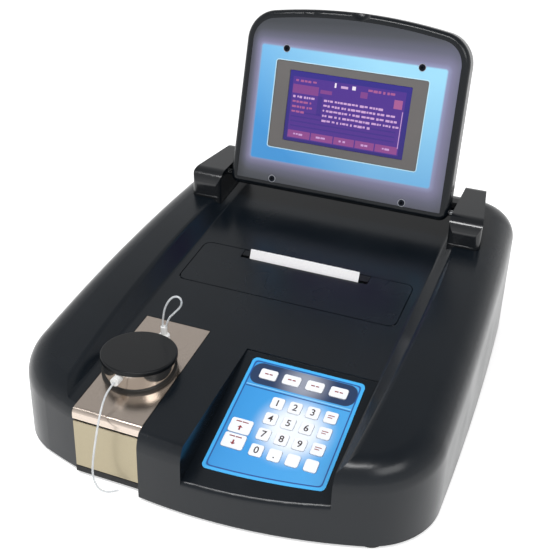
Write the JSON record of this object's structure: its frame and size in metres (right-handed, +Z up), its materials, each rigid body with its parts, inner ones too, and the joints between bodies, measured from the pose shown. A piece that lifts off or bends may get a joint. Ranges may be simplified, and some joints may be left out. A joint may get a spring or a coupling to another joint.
{
  "type": "benchtop chemistry analyzer",
  "caption": "Low black wedge-shaped bench instrument with a hinged display lid, keypad, strip printer and a flow-cell well with a thin sipper tube",
  "frame": {"origin": "on the table, under the middle of the body", "axes": "-Y towards the keypad and the user, +X to the user's right, +Z up"},
  "size_m": [0.338, 0.4099, 0.2894],
  "materials": {
    "black_housing": "satin",
    "black_pan": "matte",
    "black_rubber": "matte",
    "zinc_screw": "satin",
    "hinge_steel": "satin",
    "stainless": "brushed",
    "polished_steel": "polished",
    "black_cap": "satin",
    "flow_cell_body": "satin",
    "white_fitting": "satin",
    "clear_tube": "gloss",
    "paper": "matte",
    "keypad_blue": "satin",
    "key_plastic": "satin",
    "board_green": "satin",
    "lamp_aluminium": "satin",
    "black_anodised": "satin",
    "motor_metal": "satin",
    "pump_plastic": "satin",
    "inlet_plastic": "matte",
    "overlay_gloss": "gloss",
    "lcd_frame": "satin"
  },
  "bodies": {
    "base": {"top_housing": "black_housing", "base_pan": "black_pan", "rubber_feet": "black_rubber", "base_screws": "zinc_screw", "hinge_tower_left": "black_housing", "hinge_tower_right": "black_housing", "hinge_pins": "hinge_steel", "sampler_plate": "stainless", "well_gasket": "black_rubber", "well_collar": "polished_steel", "flow_cell_cap": "black_cap", "flow_cell": "flow_cell_body", "tube_fittings": "white_fitting", "sipper_tube": "clear_tube", "return_loop": "clear_tube", "printer_frame": "black_pan", "paper_strip": "paper", "tear_bar": "black_cap", "keypad_plate": "keypad_blue", "keypad_board": "board_green", "main_board": "board_green", "lamp_house": "lamp_aluminium", "filter_motor": "motor_metal", "pump_head": "pump_plastic", "pump_motor": "motor_metal", "power_inlet": "inlet_plastic"},
    "lid": {"lid_front_shell": "black_housing", "lid_rear_shell": "black_housing", "display_overlay": "overlay_gloss", "lcd_module": "lcd_frame", "lid_screws": "zinc_screw"},
    "sip_plate_body": {"sip_plate": "stainless"},
    "printer_cover_body": {"printer_cover": "black_housing"},
    "platen_roller_body": {"platen_roller": "black_rubber"},
    "paper_roll_body": {"paper_roll": "paper"},
    "filter_wheel_body": {"filter_wheel": "black_anodised"},
    "pump_rotor_body": {"pump_rotor": "pump_plastic"},
    "rocker_switch_body": {"rocker_switch": "inlet_plastic"},
    "key_row_1_1_body": {"key_row_1_1": "key_plastic"},
    "key_row_1_2_body": {"key_row_1_2": "key_plastic"},
    "key_row_1_3_body": {"key_row_1_3": "key_plastic"},
    "key_row_1_4_body": {"key_row_1_4": "key_plastic"},
    "key_row_2_1_body": {"key_row_2_1": "key_plastic"},
    "key_row_2_2_body": {"key_row_2_2": "key_plastic"},
    "key_row_2_3_body": {"key_row_2_3": "key_plastic"},
    "key_row_2_4_body": {"key_row_2_4": "key_plastic"},
    "key_row_3_1_body": {"key_row_3_1": "key_plastic"},
    "key_row_3_2_body": {"key_row_3_2": "key_plastic"},
    "key_row_3_3_body": {"key_row_3_3": "key_plastic"},
    "key_row_3_4_body": {"key_row_3_4": "key_plastic"},
    "key_row_4_1_body": {"key_row_4_1": "key_plastic"},
    "key_row_4_2_body": {"key_row_4_2": "key_plastic"},
    "key_row_4_3_body": {"key_row_4_3": "key_plastic"},
    "key_row_4_4_body": {"key_row_4_4": "key_plastic"},
    "soft_key_1_body": {"soft_key_1": "key_plastic"},
    "soft_key_2_body": {"soft_key_2": "key_plastic"},
    "soft_key_3_body": {"soft_key_3": "key_plastic"},
    "soft_key_4_body": {"soft_key_4": "key_plastic"},
    "wide_key_1_body": {"wide_key_1": "key_plastic"},
    "wide_key_2_body": {"wide_key_2": "key_plastic"}
  },
  "joints": [
    {"name": "lid_hinge", "type": "hinge", "parent": "base", "child": "lid", "pos_m": [0, 0.1215, 0.129], "axis": [1, 0, 0], "range_deg": [0, 111.5], "deforming": ["paper_strip"]},
    {"name": "printer_cover_hinge", "type": "hinge", "parent": "base", "child": "printer_cover_body", "pos_m": [0, -0.01662, 0.08479], "axis": [-1, 0, 0], "range_deg": [-75, 0]},
    {"name": "sip_press", "type": "slide", "parent": "base", "child": "sip_plate_body", "axis": [0, 1, 0], "range_m": [0, 0.0025], "stiffness_N_per_m": 400, "springref_m": -0.0005},
    {"name": "rocker_tilt", "type": "hinge", "parent": "base", "child": "rocker_switch_body", "pos_m": [0.0925, 0.193, 0.04], "axis": [-1, 0, 0], "range_deg": [0, 16]},
    {"name": "pump_spin", "type": "hinge", "parent": "base", "child": "pump_rotor_body", "pos_m": [-0.078, 0.068, 0.036], "axis": [0, 1, 0], "continuous": true},
    {"name": "filter_spin", "type": "hinge", "parent": "base", "child": "filter_wheel_body", "pos_m": [-0.071, -0.045, 0.04], "axis": [0, 1, 0], "continuous": true},
    {"name": "roll_spin", "type": "hinge", "parent": "base", "child": "paper_roll_body", "pos_m": [0, 0.003, 0.06], "axis": [1, 0, 0], "continuous": true},
    {"name": "platen_spin", "type": "hinge", "parent": "base", "child": "platen_roller_body", "pos_m": [0, 0.03565, 0.08], "axis": [1, 0, 0], "continuous": true},
    {"name": "key_row_1_1_press", "type": "slide", "parent": "base", "child": "key_row_1_1_body", "axis": [0, 0.3593, -0.9332], "range_m": [0, 0.0006], "stiffness_N_per_m": 1500, "springref_m": -0.0002},
    {"name": "key_row_1_2_press", "type": "slide", "parent": "base", "child": "key_row_1_2_body", "axis": [0, 0.3593, -0.9332], "range_m": [0, 0.0006], "stiffness_N_per_m": 1500, "springref_m": -0.0002},
    {"name": "key_row_1_3_press", "type": "slide", "parent": "base", "child": "key_row_1_3_body", "axis": [0, 0.3593, -0.9332], "range_m": [0, 0.0006], "stiffness_N_per_m": 1500, "springref_m": -0.0002},
    {"name": "key_row_1_4_press", "type": "slide", "parent": "base", "child": "key_row_1_4_body", "axis": [0, 0.3593, -0.9332], "range_m": [0, 0.0006], "stiffness_N_per_m": 1500, "springref_m": -0.0002},
    {"name": "key_row_2_1_press", "type": "slide", "parent": "base", "child": "key_row_2_1_body", "axis": [0, 0.3593, -0.9332], "range_m": [0, 0.0006], "stiffness_N_per_m": 1500, "springref_m": -0.0002},
    {"name": "key_row_2_2_press", "type": "slide", "parent": "base", "child": "key_row_2_2_body", "axis": [0, 0.3593, -0.9332], "range_m": [0, 0.0006], "stiffness_N_per_m": 1500, "springref_m": -0.0002},
    {"name": "key_row_2_3_press", "type": "slide", "parent": "base", "child": "key_row_2_3_body", "axis": [0, 0.3593, -0.9332], "range_m": [0, 0.0006], "stiffness_N_per_m": 1500, "springref_m": -0.0002},
    {"name": "key_row_2_4_press", "type": "slide", "parent": "base", "child": "key_row_2_4_body", "axis": [0, 0.3593, -0.9332], "range_m": [0, 0.0006], "stiffness_N_per_m": 1500, "springref_m": -0.0002},
    {"name": "key_row_3_1_press", "type": "slide", "parent": "base", "child": "key_row_3_1_body", "axis": [0, 0.3593, -0.9332], "range_m": [0, 0.0006], "stiffness_N_per_m": 1500, "springref_m": -0.0002},
    {"name": "key_row_3_2_press", "type": "slide", "parent": "base", "child": "key_row_3_2_body", "axis": [0, 0.3593, -0.9332], "range_m": [0, 0.0006], "stiffness_N_per_m": 1500, "springref_m": -0.0002},
    {"name": "key_row_3_3_press", "type": "slide", "parent": "base", "child": "key_row_3_3_body", "axis": [0, 0.3593, -0.9332], "range_m": [0, 0.0006], "stiffness_N_per_m": 1500, "springref_m": -0.0002},
    {"name": "key_row_3_4_press", "type": "slide", "parent": "base", "child": "key_row_3_4_body", "axis": [0, 0.3593, -0.9332], "range_m": [0, 0.0006], "stiffness_N_per_m": 1500, "springref_m": -0.0002},
    {"name": "key_row_4_1_press", "type": "slide", "parent": "base", "child": "key_row_4_1_body", "axis": [0, 0.3593, -0.9332], "range_m": [0, 0.0006], "stiffness_N_per_m": 1500, "springref_m": -0.0002},
    {"name": "key_row_4_2_press", "type": "slide", "parent": "base", "child": "key_row_4_2_body", "axis": [0, 0.3593, -0.9332], "range_m": [0, 0.0006], "stiffness_N_per_m": 1500, "springref_m": -0.0002},
    {"name": "key_row_4_3_press", "type": "slide", "parent": "base", "child": "key_row_4_3_body", "axis": [0, 0.3593, -0.9332], "range_m": [0, 0.0006], "stiffness_N_per_m": 1500, "springref_m": -0.0002},
    {"name": "key_row_4_4_press", "type": "slide", "parent": "base", "child": "key_row_4_4_body", "axis": [0, 0.3593, -0.9332], "range_m": [0, 0.0006], "stiffness_N_per_m": 1500, "springref_m": -0.0002},
    {"name": "soft_key_1_press", "type": "slide", "parent": "base", "child": "soft_key_1_body", "axis": [0, 0.3593, -0.9332], "range_m": [0, 0.0006], "stiffness_N_per_m": 1500, "springref_m": -0.0002},
    {"name": "soft_key_2_press", "type": "slide", "parent": "base", "child": "soft_key_2_body", "axis": [0, 0.3593, -0.9332], "range_m": [0, 0.0006], "stiffness_N_per_m": 1500, "springref_m": -0.0002},
    {"name": "soft_key_3_press", "type": "slide", "parent": "base", "child": "soft_key_3_body", "axis": [0, 0.3593, -0.9332], "range_m": [0, 0.0006], "stiffness_N_per_m": 1500, "springref_m": -0.0002},
    {"name": "soft_key_4_press", "type": "slide", "parent": "base", "child": "soft_key_4_body", "axis": [0, 0.3593, -0.9332], "range_m": [0, 0.0006], "stiffness_N_per_m": 1500, "springref_m": -0.0002},
    {"name": "wide_key_1_press", "type": "slide", "parent": "base", "child": "wide_key_1_body", "axis": [0, 0.3593, -0.9332], "range_m": [0, 0.0006], "stiffness_N_per_m": 1500, "springref_m": -0.0002},
    {"name": "wide_key_2_press", "type": "slide", "parent": "base", "child": "wide_key_2_body", "axis": [0, 0.3593, -0.9332], "range_m": [0, 0.0006], "stiffness_N_per_m": 1500, "springref_m": -0.0002}
  ],
  "couplings": [
    {"joint": "platen_spin", "follows": "roll_spin", "ratio": -3.6667}
  ]
}
